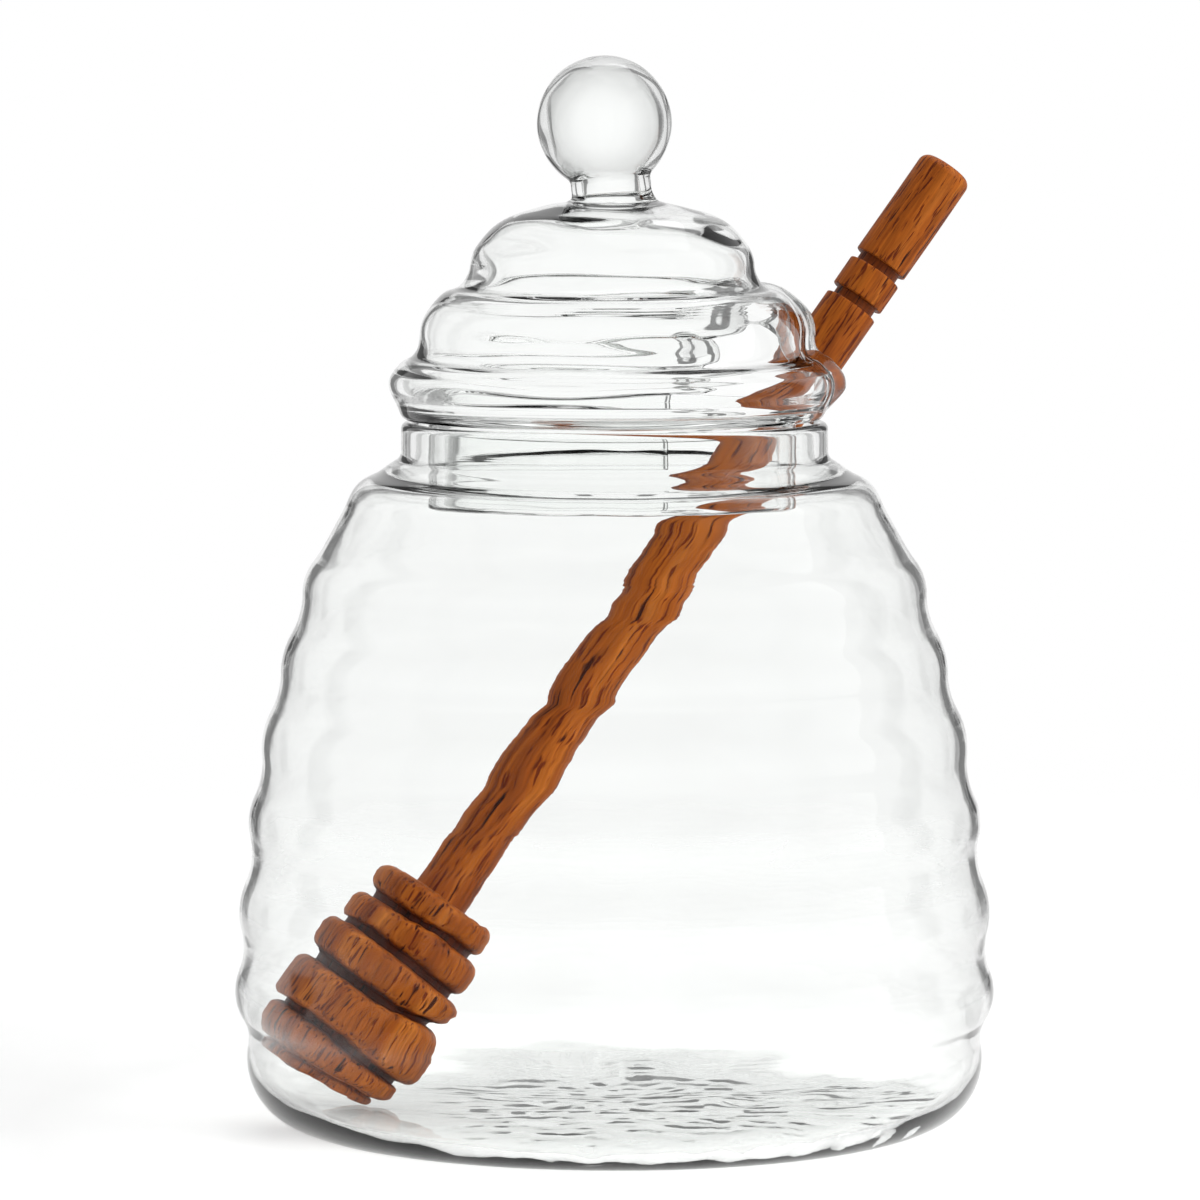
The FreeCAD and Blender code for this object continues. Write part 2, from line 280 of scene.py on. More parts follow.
def pot_section():
    """The outside up from the middle of the foot, and the inside back down to the floor."""
    outer, inner, headings = hive_section()
    foot_radius, foot_height = outer[-1]
    inner_heel = foot_height - floor_thickness
    inner_middle = inner[-1][0] - inner_heel
    lip = neck_wall / 2
    down = [flowing(side, headings, 4) for side in (outer, inner)]
    outside = [
        straight((0, 0), (foot_radius - heel_radius, 0), 8),
        quarter((foot_radius - heel_radius, heel_radius), heel_radius, -90, 0, 14),
        np.array([[foot_radius, heel_radius]]),
        np.vstack([down[0], outer[-1:]])[::-1],
        straight(outer[0], (neck_radius, rim_height - lip), 8)[1:],
        quarter((neck_bore + lip, rim_height - lip), lip, 0, 180, 12),
    ]
    inside = [
        straight((neck_bore, rim_height - lip), inner[0], 8),
        down[1],
        quarter((inner_middle, foot_height), inner_heel, 0, -90, 12),
        straight((inner_middle, floor_thickness), (0, floor_thickness), 34),
        np.array([[0, floor_thickness]]),
    ]
    return np.vstack(outside), np.vstack(inside)


outside, inside = pot_section()
print("pot section:", len(outside), "rows outside,", len(inside), "inside")

# %% [markdown]
# The pot's glass. The real wall is wavy, and its floor has the pebbled surface that glass keeps
# where it sagged on the mould. Both could be bump in the shader, but bump doesn't thicken the
# glass, and it is the change in thickness that bends what lies behind. So the grid's points are
# moved a little, nearly always into the glass, and the piece stays inside its CAD solid's box.

# %% The pot
pot_columns = 240
wall_wave = 0.05
wave_steady, wave_broad, wave_fine = 0.6, 0.5, 0.35
calm_rim, calm_fade, calm_middle = 4.0, 8.0, 20.0   # where the waves die out
floor_dimple, floor_reach, floor_fade = 0.36, 1.5, 1.2
pebble_mean, pebble_swing, small_pebbles = 0.5, 0.45, 0.6
smooth_side, smooth_fade, least_rough = -26.0, 14.0, 0.08


def wall_push(section, turn):
    """How far the waves move each point of the pot."""
    radius, height = section[:, :1], section[:, 1:]
    length = line_length(section)[:, None]
    # the waves die out towards the rim, where the lid rests, and towards both poles
    waviness = np.clip((rim_height - calm_rim - height) / calm_fade, 0, 1)
    waviness = waviness * np.clip(radius / calm_middle, 0, 1)
    broad = waves(turn, length, 3, (1, 7), (14, 60))
    fine = waves(turn, length, 5, (6, 26), (9, 24))
    return -wall_wave * waviness * (wave_steady + wave_broad * broad + wave_fine * fine)


def floor_dips(x, y):
    """How deep the pebbled floor dips; it is smoother where the dipper's head rests."""
    pebbles = flat_waves(x, y, 11, (5.0, 11.0))
    pebbles = pebbles + small_pebbles * flat_waves(x, y, 12, (2.6, 5.0))
    rough = np.clip((x - smooth_side) / smooth_fade, least_rough, 1)
    return floor_dimple * rough * np.clip(pebble_mean + pebble_swing * pebbles, 0, 1)


def normals_of(section):
    """Unit normals of a section, to the left of the way it runs."""
    step = np.gradient(section, axis=0)
    step /= np.maximum(np.hypot(step[:, 0], step[:, 1]), tiny)[:, None]
    return np.column_stack([-step[:, 1], step[:, 0]])


def make_pot():
    section = np.vstack([outside, inside])
    grid, turn = spin(section, pot_columns)
    normal = normals_of(section)
    push = wall_push(section, turn)
    is_inside = (np.arange(len(section)) >= len(outside))[:, None]
    over_floor = floor_thickness + floor_reach - section[:, 1:]
    on_floor = is_inside * np.clip(over_floor / floor_fade, 0, 1)
    dip = on_floor * floor_dips(grid[..., 0], grid[..., 1])
    # outside, the normal to the left points inwards; inside, it points into the hollow
    amount = np.where(is_inside, push, -push) * (1 - on_floor)
    grid[..., 0] += normal[:, :1] * amount * np.cos(turn)
    grid[..., 1] += normal[:, :1] * amount * np.sin(turn)
    grid[..., 2] += normal[:, 1:] * amount - dip
    grid[..., 2] = np.maximum(grid[..., 2], 0)
    return turned_piece("pot_glass", grid)


pot = make_pot()
report(pot)

# %% [markdown]
# The lid. The real one is one blown bubble, pinched into a dome, a belly and a brim, each a
# round bulge. Each bulge could be a scaled sphere, but the joins would show as creases. So one
# flowing line runs from crest to crest, with two points between them that set how deep the
# waist is. Its radii follow from the pot's mouth, which the lid has to fit.

# %% The outline of the lid
seat_gap, lid_height = 0.3, 29.6
seat_height = rim_height + seat_gap
dome_top = seat_height + lid_height
skirt_play, skirt_wall, skirt_drop = 2.1, 2.2, 11.0
skirt_tuck, skirt_lip, seat_width = 0.8, 1.2, 2.7
skirt_radius, skirt_end = neck_bore - skirt_play, rim_height - skirt_drop
brim_overhang, belly_inset, dome_inset = 1.4, 4.2, 6.9
brim_rise, belly_rise, dome_rise = 4.9, 11.4, 20.8
brim_radius = neck_radius + brim_overhang
belly_radius = brim_radius - belly_inset
dome_radius = belly_radius - dome_inset
# Points between two crests, as shares of the way across and of the way down.
dome_curve = ((0.50, 0.10), (0.83, 0.40))
dome_to_belly = ((0.15, 0.26), (0.60, 0.44))
belly_to_brim = ((0.15, 0.40), (0.66, 0.62))
brim_to_seat = (0.33, 0.51)
plumb_points = (3, 6, 9)    # the crests of dome, belly and brim, where the line runs plumb


def lid_points():
    """The points of the lid's outside from the top of the dome to the seat."""
    top = np.array([0, dome_top])
    dome = np.array([dome_radius, seat_height + dome_rise])
    belly = np.array([belly_radius, seat_height + belly_rise])
    brim = np.array([brim_radius, seat_height + brim_rise])
    seat = np.array([skirt_radius + seat_width, seat_height])
    points = [top]
    for start, end, between in ((top, dome, dome_curve), (dome, belly, dome_to_belly),
                                (belly, brim, belly_to_brim)):
        points += [start + (end - start) * shares for shares in between] + [end]
    low = np.array([brim_radius - seat_width, seat_height])
    points += [brim + (low - brim) * brim_to_seat, seat]
    headings = headings_along(points, (1, 0), (-1, 0))
    for index in plumb_points:
        headings[index] = np.array([0, -1])
    return points, headings


outline = lid_points()[0]
print("lid: crests at radius", [round(outline[index][0], 1) for index in plumb_points])

# %% [markdown]
# The knob is blown in one with the lid, so its hollow is one space with the lid's, through the
# stem. A sphere joined on top would leave a wall inside the stem. So the ball, the stem and the
# round sweeps at both ends of the stem are part of the lid's section too.

# %% The knob
knob_radius, knob_wall, knob_rise = 9.1, 1.15, 10.4
stem_radius, stem_bore, stem_sweep, ball_sweep = 5.4, 3.9, 1.5, 1.2
slope_step, root_space = 0.5, 0.3       # mm along the dome, to read off its slope at the stem


def evenly(points, count):
    """The same line with its points spread evenly, without the last."""
    length = line_length(points)
    wanted = np.linspace(0, 1, count, endpoint=False) * length[-1]
    return np.column_stack([np.interp(wanted, length, side) for side in points.T])


def knob_line(ball, post, dome):
    """Ball, sweep, post and root sweep down to the dome, then the dome out to its crest."""
    centre = dome_top + knob_rise
    depth = math.sqrt((ball + ball_sweep) ** 2 - (post + ball_sweep) ** 2)
    touch = math.degrees(math.atan2(-depth, post + ball_sweep))
    root = post + stem_sweep
    height, past = np.interp((root, root + slope_step), dome[:, 0], dome[:, 1])
    slope = math.degrees(math.atan2(past - height, slope_step))
    rest = dome[dome[:, 0] > root + root_space]
    return [
        quarter((0, centre), ball, 90, touch, 44),
        quarter((post + ball_sweep, centre - depth), ball_sweep, touch + 180, 180, 6),
        straight((post, centre - depth), (post, height + stem_sweep), 5),
        quarter((root, height + stem_sweep), stem_sweep, 180, 270 + slope, 7),
        evenly(np.vstack([[root, height], rest]), 40),
    ]


knob_top = dome_top + knob_rise + knob_radius
print("knob:", 2 * knob_radius, "mm across, its top", round(knob_top, 1), "mm high")

# %% [markdown]
# The lid's two faces. A Solidify modifier could make the inner one, but the wall isn't even: the
# knob is thinner and the skirt thicker. So both are drawn by one function, from the top of the
# ball to the lower end of the skirt, with the same number of points, and each point then has its
# partner across the wall.

# %% The section of the lid
lid_wall = 1.6


def lid_face(points, headings, ball, post, tuck, face):
    """One face of the lid, from the top of the knob to the lower end of the skirt."""
    crest = plumb_points[0]
    dome = np.vstack([flowing(points[:crest + 1], headings[:crest + 1], 30), points[crest]])
    level = points[-1][1]
    return np.vstack(knob_line(ball, post, dome) + [
        flowing(points[crest:], headings[crest:], 5),
        straight(points[-1], (face + tuck, level), 4),
        quarter((face + tuck, level - tuck), tuck, 90, 180, 6),
        straight((face, level - tuck), (face, skirt_end), 15),
        np.array([[face, skirt_end]]),
    ])


def lid_section():
    """Matching rows of the lid's outer and inner face."""
    points, headings = lid_points()
    inner = inwards(points, headings, [lid_wall] * len(points))
    return (lid_face(points, headings, knob_radius, stem_radius, skirt_tuck, skirt_radius),
            lid_face(inner, headings, knob_radius - knob_wall, stem_bore, skirt_lip,
                     skirt_radius - skirt_wall))


lid_outer, lid_inner = lid_section()
print("lid section:", len(lid_outer), "rows,", "top", round(lid_outer[:, 1].max(), 2), "mm")

# %% [markdown]
# The dipper's place. It leans from the floor through the mouth, and both the notch and the wood
# have to follow it. The lean could be typed in as an angle. It is measured on the CAD solid
# instead: the stick is long and round, so the direction in which its faces spread most is its
# axis, and the notch then stays round the stick whatever the pot's size.

# %% Where the dipper lies
handle_radius = 3.9


def stick_line():
    """The dipper's tip, the direction of its axis and its length, in mm."""
    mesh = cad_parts["dipper"].data
    middles = np.array([face.center for face in mesh.polygons]) / MM
    areas = np.array([face.area for face in mesh.polygons])
    centre = (middles * areas[:, None]).sum(0) / areas.sum()
    spread = (middles - centre).T @ ((middles - centre) * areas[:, None])
    axis = np.linalg.eigh(spread)[1][:, -1]
    axis *= np.sign(axis[2])
    along = (np.array([point.co for point in mesh.vertices]) / MM - centre) @ axis
    return centre + axis * along.min(), axis, along.max() - along.min()


stick_tip, stick_axis, stick_length = stick_line()
stick_turn = Vector(stick_axis).to_track_quat("Z", "Y").to_matrix()
stick_bearing = math.atan2(stick_axis[1], stick_axis[0])
stick_lean = math.acos(stick_axis[2])
print("dipper: tip", stick_tip.round(2), "length", round(stick_length, 2), "mm, leans",
      round(math.degrees(stick_lean), 2), "degrees, towards",
      round(math.degrees(stick_bearing), 2))

# %% [markdown]
# The notch is an arch in the lid's edge that clears the stick. It could be cut by subtracting a
# block, but it is also needed as a line, because the edge is thickened along it. So the arch is
# drawn seen from outside and then wrapped onto the wall: at each height, the two sides of the
# arch give the two angles between which the wall is left out.

# %% The notch
notch_front, notch_back, notch_headroom = 11.5, 17.0, 3.6
front_curve, back_curve = (0.75, 0.50), (0.66, 0.50)
notch_swing = 10.0          # degrees that the notch lies further back than the stick
notch_bearing = stick_bearing + math.radians(notch_swing)


def notch_arch():
    """The arch seen from outside, as (across, height) from front foot to back, and its peak."""
    tip_across = stick_tip[0] * math.cos(stick_bearing) + stick_tip[1] * math.sin(stick_bearing)
    climb = (belly_radius - tip_across) / math.tan(stick_lean)
    over_stick = stick_tip[2] + climb + handle_radius / math.sin(stick_lean)
    spring = seat_height + brim_rise
    rise = over_stick + notch_headroom - spring
    nodes = [np.array(point) for point in (
        (-notch_front, spring),
        (-notch_front * front_curve[0], spring + rise * front_curve[1]),
        (0, spring + rise),
        (notch_back * back_curve[0], spring + rise * back_curve[1]),
        (notch_back, spring))]
    headings = headings_along(nodes, (0, 1), (0, -1))
    return np.vstack([flowing(nodes, headings, 24), nodes[-1:]]), spring + rise


def notch_reach(radius, height):
    """The angles, from the notch's bearing, of its two edges on the wall at each row."""
    top = int(np.argmax(arch[:, 1]))
    front = np.interp(height, arch[:top + 1, 1], arch[:top + 1, 0])
    back = np.interp(height, arch[top:, 1][::-1], arch[top:, 0][::-1])
    front, back = (np.arcsin(np.clip(side / radius, -1, 1)) for side in (front, back))
    open_row = (height < notch_peak) & (radius > skirt_radius / 2)
    return np.where(open_row, front, 0), np.where(open_row, back, 0)


arch, notch_peak = notch_arch()
print("notch: peak", round(notch_peak, 1), "mm high, feet", notch_front + notch_back, "mm apart")

# %% [markdown]
# The lid's wall round the notch. The real notch is melted in with a torch, and its edge draws
# itself up into a round bead. A bevel on a boolean cut would be thin and even. So the wall is
# laid out as a sheet that runs almost all the way round and stops at the notch. Its rows crowd
# at the notch's peak and its columns at the notch's edges, where the bead curves most.

# %% The lid as a sheet
lid_turns = 214             # columns round the lid
edge_crowding = 0.135
peak_steps = (0.02, 0.08, 0.18, 0.32, 0.5, 0.72, 1.0, 1.3, 1.65, 2.0, 2.5, 3.0)
least_step = 0.4


def crowded_rows(count, peak_row):
    """Row numbers, whole steps apart except near the notch's peak, where they crowd."""
    steps = np.array(peak_steps)
    near = np.r_[peak_row - steps[::-1], peak_row, peak_row + steps]
    far = [row for row in range(count) if abs(row - peak_row) > steps[-1] + least_step]
    return np.sort(np.r_[far, near])


def between_rows(values, rows):
    return np.column_stack([np.interp(rows, np.arange(len(values)), side) for side in values.T])


def lid_sheet():
    """The middle of the wall, half the wall, the turn of each point and the notched rows."""
    middle, half = (lid_outer + lid_inner) / 2, (lid_outer - lid_inner) / 2
    last = np.flatnonzero(middle[:, 1] >= notch_peak).max()
    peak_row = last + (middle[last, 1] - notch_peak) / (middle[last, 1] - middle[last + 1, 1])
    rows = crowded_rows(len(middle), peak_row)
    middle, half = between_rows(middle, rows), between_rows(half, rows)
    front, back = notch_reach(middle[:, 0], middle[:, 1])
    even = np.linspace(0, 1, lid_turns + 1)
    crowd = even - edge_crowding * np.sin(math.tau * even)
    angle = back[:, None] + crowd * (math.tau - back + front)[:, None]
    return middle, half, notch_bearing + angle, rows >= peak_row


middle, half, lid_turn, notched = lid_sheet()
radius, height = middle[:, :1], middle[:, 1:]
sheet = np.dstack([radius * np.cos(lid_turn), radius * np.sin(lid_turn), height + 0 * lid_turn])
print("lid sheet:", sheet.shape[0], "rows,", sheet.shape[1], "columns,", notched.sum(), "notched")

# %% [markdown]
# The bead's thickness depends on how far a point lies from the notch's edge. That could be
# measured round the wall alone, but over the peak the edge runs level, so the true distance to
# the nearest point of the edge is looked up in a tree of its points. Near the edge the wall
# follows a half circle, and further off it eases back to its own thickness.

# %% How thick the lid is
bead_radius = 2.1
bead_fade = 4.5             # from the bead to where the wall has its own thickness again
bead_foot, bead_grow = 1.5, 3.0         # the bead starts above the seat and grows upwards
bead_hold = 0.8             # share of the bead that is left round
far_off = 99.0
edge_steps = 8              # points looked up between two rows of the edge
lid_wave = 0.16             # share by which the lid's wall varies
wave_foot, wave_grow, wave_middle = 2.0, 4.0, 12.0


def distance_from_notch():
    """How far each point of the sheet lies from the edge of the notch, where that matters."""
    steps = np.linspace(0, 1, edge_steps, endpoint=False)[:, None]
    edge = [start + (end - start) * steps
            for side in (sheet[notched, 0], sheet[notched, -1])
            for start, end in zip(side, side[1:])]
    edge = np.vstack(edge)
    tree = KDTree(len(edge))
    for index, place in enumerate(edge):
        tree.insert(place, index)
    tree.balance()
    away = np.full(lid_turn.shape, far_off)
    for row in np.flatnonzero(height[:, 0] < notch_peak + 2 * bead_fade):
        away[row] = [tree.find(place)[2] for place in sheet[row]]
    return away


def half_round(share):
    """The height of a half circle at a share of its radius in from its edge."""
    return np.sqrt(np.clip(2 * share - share ** 2, 0, 1))


def lid_thickness():
    """Half the wall at each point, and how much of a bead it is."""
    away = distance_from_notch()
    plain = np.hypot(half[:, 0], half[:, 1])[:, None]
    low = np.clip((height - seat_height - bead_foot) / bead_grow, 0, 1)
    bead = plain + (bead_radius - plain) * low
    rounded = np.where(away > bead, 1, half_round(away / bead))
    ease = smooth((away - bead * bead_hold) / bead_fade)
    thick = rounded * (bead + (plain - bead) * ease)
    # the skirt's lower edge is melted round as well
    thick = thick * half_round(np.clip((height - skirt_end) / plain, 0, 1))
    waviness = np.clip((height - seat_height - wave_foot) / wave_grow, 0, 1)
    waviness = waviness * np.clip(radius / wave_middle, 0, 1)
    along = line_length(middle)[:, None]
    thick = thick * (1 + lid_wave * waviness * waves(lid_turn, along, 21, (1, 6), (5, 30)))
    return thick, (1 - ease) * low


lid_half_wall, in_bead = lid_thickness()
print("lid: walls up to", round(2 * lid_half_wall.max(), 2), "mm thick at the bead")

# %% [markdown]
# The knob of a hand-made lid never stands quite plumb. A Simple Deform modifier could bend it.
# The two faces of the lid are points in hand, so everything above the dome is turned over by an
# angle that eases in, and both faces are then joined, meeting along the notch and the skirt.

# %% The lid
knob_lean, lid_shift = 6.0, 0.3
lean_foot, lean_grow = 0.6, 1.8


def lean_knob(grid):
    """Leans what lies over the dome by a few degrees, and shifts the lid in its seat."""
    lean = -math.radians(knob_lean) * smooth((grid[..., 2] - dome_top + lean_foot) / lean_grow)
    across, rise = grid[..., 0], grid[..., 2] - dome_top
    grid[..., 0], grid[..., 2] = (across * np.cos(lean) + rise * np.sin(lean) - lid_shift,
                                  dome_top - across * np.sin(lean) + rise * np.cos(lean))
    return grid


def make_lid():
    outwards = half / np.maximum(np.hypot(half[:, 0], half[:, 1])[:, None], tiny)
    faces = []
    for sign in (1, -1):
        push = sign * lid_half_wall
        faces.append(lean_knob(sheet + np.dstack([
            push * outwards[:, :1] * np.cos(lid_turn),
            push * outwards[:, :1] * np.sin(lid_turn),
            push * outwards[:, 1:]])))
    points = np.vstack([grid.reshape(-1, 3) for grid in faces])
    outer = grid_faces(*lid_turn.shape, closed=False)
    inner = (outer + lid_turn.size)[:, [0, 3, 2, 1]]
    return smooth_piece("lid_glass", points, np.vstack([outer, inner]), weld=2e-3, sliver=1e-3,
                        shade=("bead", np.tile(in_bead.ravel(), 2)))


lid = make_lid()
report(lid)

# %% [markdown]
# The dipper is turned from one stick of oak-like wood: a head of rounded discs with dark
# grooves between them, a plain handle, and two cuts near its end. Each disc could be a cylinder
# with a bevel, but the real one is a single turning. So the section of the whole stick is drawn
# standing on its tip, and the head first: each disc's rim, and between two rims the floor of
# their groove.

# %% The head of the dipper
ring_rounding, most_rounding = 1.6, 0.42
groove_edge = 0.05
# Each disc: its middle, thickness and radius, and how far the groove over it is cut in below
# the smaller of its neighbours.
head_rings = (
    (0.75, 1.50, 8.5, 0.5),
    (3.80, 3.90, 10.4, 1.5),
    (10.1, 6.60, 11.5, 2.1),
    (16.95, 4.80, 11.1, 1.5),
    (22.5, 4.20, 10.1, 1.3),
    (27.7, 4.20, 9.1, 0.0),
)


def ring_line(middle, thickness, radius):
    """The section of one disc of the head, from its lower face to its upper face."""
    rounding = min(ring_rounding, thickness * most_rounding)
    low, high = middle - thickness / 2, middle + thickness / 2
    return np.vstack([
        quarter((radius - rounding, low + rounding), rounding, -90, 0, 12),
        quarter((radius - rounding, high - rounding), rounding, 0, 90, 12),
        [[radius - rounding, high]],
    ])


def head_section():
    """The discs and the grooves between them, up to the upper face of the last disc."""
    rings = [ring_line(*ring[:3]) for ring in head_rings]
    floors = [min(lower[2], upper[2]) - lower[3]
              for lower, upper in zip(head_rings, head_rings[1:])]
    rows = [straight((0, 0), rings[0][0], 12)]
    for index, (ring, (middle, *_)) in enumerate(zip(rings, head_rings)):
        if index:       # the lower part of the rim starts where it leaves the groove's floor
            ring = ring[(ring[:, 0] > floors[index - 1]) | (ring[:, 1] > middle)]
        if index == len(floors):
            rows.append(ring)
            break
        floor = floors[index]
        ring = ring[(ring[:, 0] > floor) | (ring[:, 1] < middle)]
        above = rings[index + 1]
        above = above[above[:, 0] > floor][0]
        rows += [ring, straight((floor, ring[-1][1] + groove_edge),
                                (floor, above[1] - groove_edge), 4)]
    return rows


print("dipper's head:", len(head_rings), "discs,", round(head_section()[-1][-1][1], 1), "mm long")

# %% [markdown]
# The handle is plain and slender, with two narrow cuts near its end where the fingers hold it.
# They could be cut out with two rings. As they belong to the same turning, they are drawn in the
# section as well, each with its edges a little softened.

# %% The handle of the dipper
dipper_length, handle_dome, stem_root = 151.0, 1.3, 0.3
cut_depth, cut_width, cut_places = 0.8, 1.35, (16.2, 21.9)
cut_rounding = 0.22
handle_spacing = 1.6        # mm between the rows of the handle


def cut_section(low):
    """One narrow cut round the handle, from its lower edge to its upper edge."""
    shoulder, inner = handle_radius - cut_rounding, handle_radius - cut_depth
    high = low + cut_width
    return [
        quarter((shoulder, low - cut_rounding), cut_rounding, 0, 90, 4),
        straight((shoulder, low), (inner, low), 3),
        straight((inner, low), (inner, high), 3),
        straight((inner, high), (shoulder, high), 3),
        quarter((shoulder, high + cut_rounding), cut_rounding, -90, 0, 4),
    ]


def dipper_section():
    """The stick's section from the middle of its tip to the middle of its top."""
    rows = head_section()
    high = rows[-1][-1][1]
    stem = handle_radius + stem_root
    rows.append(straight(rows[-1][-1], (stem, high), 10)[1:])
    rows.append(quarter((stem, high + stem_root), -stem_root, 90, 0, 4))
    height = high + stem_root
    for place in sorted(cut_places, reverse=True):
        low = dipper_length - place - cut_width
        count = max(4, int((low - height) / handle_spacing))
        rows.append(straight((handle_radius, height), (handle_radius, low - cut_rounding), count))
        rows += cut_section(low)
        height = low + cut_width + cut_rounding
    top, flat = dipper_length - handle_dome, handle_radius - handle_dome
    rows.append(straight((handle_radius, height), (handle_radius, top), 12))
    rows.append(quarter((flat, top), handle_dome, 0, 90, 10))
    rows.append(straight((flat, dipper_length), (0, dipper_length), 8))
    return np.vstack(rows + [[[0, dipper_length]]])


stick = dipper_section()
print("dipper section:", len(stick), "rows, widest", 2 * stick[:, 0].max(), "mm")

# %% [markdown]
# The turned stick. Wood turned by hand is a little out of round, so the swept grid is shaved here
# and there, always inwards, before it is laid along the CAD dipper's own line. The grooves are
# darker: partly the dark burn lines of the turning, partly painted shade where light reaches less.
# That could be painted on a picture. It is worked out here from the depth of each point under the
# rims beside it, and kept for the wood as an attribute.

# %% The dipper
stick_columns = 180
mean_shave, shave_wave, shave_middle = 0.006, 0.006, 3.0
groove_reach = 2.2          # how far the banks of a groove may stand off
groove_dark = 1.1           # depth at which it is darkest


def make_dipper():
    grid, turn = spin(stick, stick_columns)
    radius, height = stick[:, :1], stick[:, 1:]
    uneven = waves(turn, height, 41, (1, 3), (9, 40), 10)
    shaved = 1 - (mean_shave + shave_wave * uneven) * np.clip(radius / shave_middle, 0, 1)
    grid[..., 0] *= shaved
    grid[..., 1] *= shaved
    return turned_piece("wooden_dipper", grid @ np.array(stick_turn).T + stick_tip)


def groove_depths():
    """How deep each point of the section lies in a groove, from 0 to 1."""
    radius, height = stick[:, 0], stick[:, 1]
    near = np.abs(height[:, None] - height) < groove_reach
    beside = np.where(near, radius, 0)
    below = height <= height[:, None]
    lower = np.where(below, beside, 0).max(1)
    upper = np.where(~below | np.eye(len(stick), dtype=bool), beside, 0).max(1)
    return np.clip((np.minimum(lower, upper) - radius) / groove_dark, 0, 1)


def store_groove_burn_and_shade(dipper):
    """Stores each point's depth in its groove, read off at the nearest point of the section."""
    depths = groove_depths()
    places = np.array([point.co for point in dipper.data.vertices]) / MM - stick_tip
    places = places @ np.array(stick_turn)
    radii = np.hypot(places[:, 0], places[:, 1]) * (1 + mean_shave)
    tree = KDTree(len(stick))
    for index, (across, height) in enumerate(stick):
        tree.insert((across, height, 0), index)
    tree.balance()
    found = [depths[tree.find((across, height, 0))[1]]
             for across, height in zip(radii, places[:, 2])]
    # this depth darkens the wood in the grooves: the turning's burn lines and painted shade
    dipper.data.attributes.new("groove", "FLOAT", "POINT").data.foreach_set("value", found)


dipper = make_dipper()
store_groove_burn_and_shade(dipper)
report(dipper)

# %% [markdown]
# What the three pieces are to the frame: each rides on the one body and stands for its plain CAD
# solid, which is hidden, and the name of its slot is printed with it. They could be told apart by
# body, but the lid and the dipper only rest in the pot, so all three ride on the root.

# %% Pieces and frame
for piece, node, slot in ((pot, "jar", "clear_glass"), (lid, "lid", "clear_glass"),
                          (dipper, "dipper", "turned_wood")):
    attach(piece, "root")
    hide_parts(node)
    print(piece.name, "replaces", node, "and is made of", slot)

# %% [markdown]
# Materials are trees of nodes. They could be wired by hand in the Shader Editor. A few small
# helpers keep the script short and readable: one starts a material, one adds a node and fills
# its sockets with values or links, and the rest wrap the nodes that come up most.

# %% Node helpers
def shader_tree(name):
    """A new material, its nodes and its output."""
    material = bpy.data.materials.new(name)
    material.use_nodes = True
    tree = material.node_tree
    tree.nodes.clear()
    return material, tree, tree.nodes.new("ShaderNodeOutputMaterial")


def node(tree, kind, inputs=None, **settings):
    """Adds a node, sets it up, and fills its inputs with values or with other sockets."""
    made = tree.nodes.new(kind)
    for key, value in settings.items():
        setattr(made, key, value)
    for key, value in (inputs or {}).items():
        socket = made.inputs[key]
        if isinstance(value, bpy.types.NodeSocket):
            tree.links.new(value, socket)
        else:
            socket.default_value = value
    return made


def grey(level):
    return (level, level, level)


def ramp(tree, factor, *stops):
    """A colour ramp through (position, colour) stops."""
    made = node(tree, "ShaderNodeValToRGB", {"Fac": factor})
    elements = made.color_ramp.elements
    while len(elements) < len(stops):
        elements.new(0.5)
    for element, (position, colour) in zip(elements, stops):
        element.position = position
        element.color = (*colour, 1)
    return made.outputs["Color"]


def shaded(tree, colour, *shades):
    """A colour multiplied by one shade after another."""
    for shade in shades:
        colour = node(tree, "ShaderNodeMix", {"Factor": 1.0, 6: colour, 7: shade},
                      data_type="RGBA", blend_type="MULTIPLY").outputs[2]
    return colour


def maths(tree, operation, first, second=0.0):
    return node(tree, "ShaderNodeMath", {0: first, 1: second}, operation=operation).outputs[0]


def mapped(tree, value, span, to=(0.0, 1.0), **settings):
    """A value, mapped from one span to another."""
    return node(tree, "ShaderNodeMapRange", {
        "Value": value, "From Min": span[0], "From Max": span[1],
        "To Min": to[0], "To Max": to[1]}, **settings).outputs[0]


def mixed(tree, factor, first, second):
    """The first shader where the factor is 0, the second where it is 1."""
    return node(tree, "ShaderNodeMixShader", {0: factor, 1: first, 2: second}).outputs[0]


print("grey at a half:", grey(0.5))

# %% [markdown]
# Glass is darker where the eye looks along the wall: partly because the way through it is long
# there, and partly because such edges bend and mirror the dark parts of the room. Volume absorption
# would do the first, but it takes many more samples. Here the colour of the surface is drawn down
# towards grey-green by how far it is turned away, which is tint and painted shade together: gently
# in a blown wall, sooner in the knob and in the thick glass of the bead. A painted shade is also
# laid in every groove of the mould.

# %% The tint of the glass
glass_green = (0.992, 1.0, 0.994)
# How light the glass is drawn at each turn away from the eye (0 faces it, 1 is edge on), in a blown
# wall and in the knob and the thick bead: its tint, with painted shade for the dark edges.
wall_tint_and_edge_shade = ((0.0, 0.991), (0.45, 0.972), (0.55, 0.952), (0.61, 0.93), (0.68, 0.88),
             (0.77, 0.79), (0.90, 0.52), (1.0, 0.28))
knob_tint_and_edge_shade = ((0.0, 0.998), (0.08, 0.975), (0.125, 0.95), (0.18, 0.905), (0.26, 0.86),
             (0.35, 0.82), (0.47, 0.78), (0.70, 0.50), (1.0, 0.20))
knob_from, knob_to = 0.5, 3.0           # mm over the dome, where the one gives way to the other
# painted shade: each groove of the mould is drawn a little greyer
mould_ring_painted_shade, foot_share = 0.968, 0.04    # light left in a groove of the mould; foot of the bands


def glass_grey(level):
    return tuple(level * part for part in glass_green)


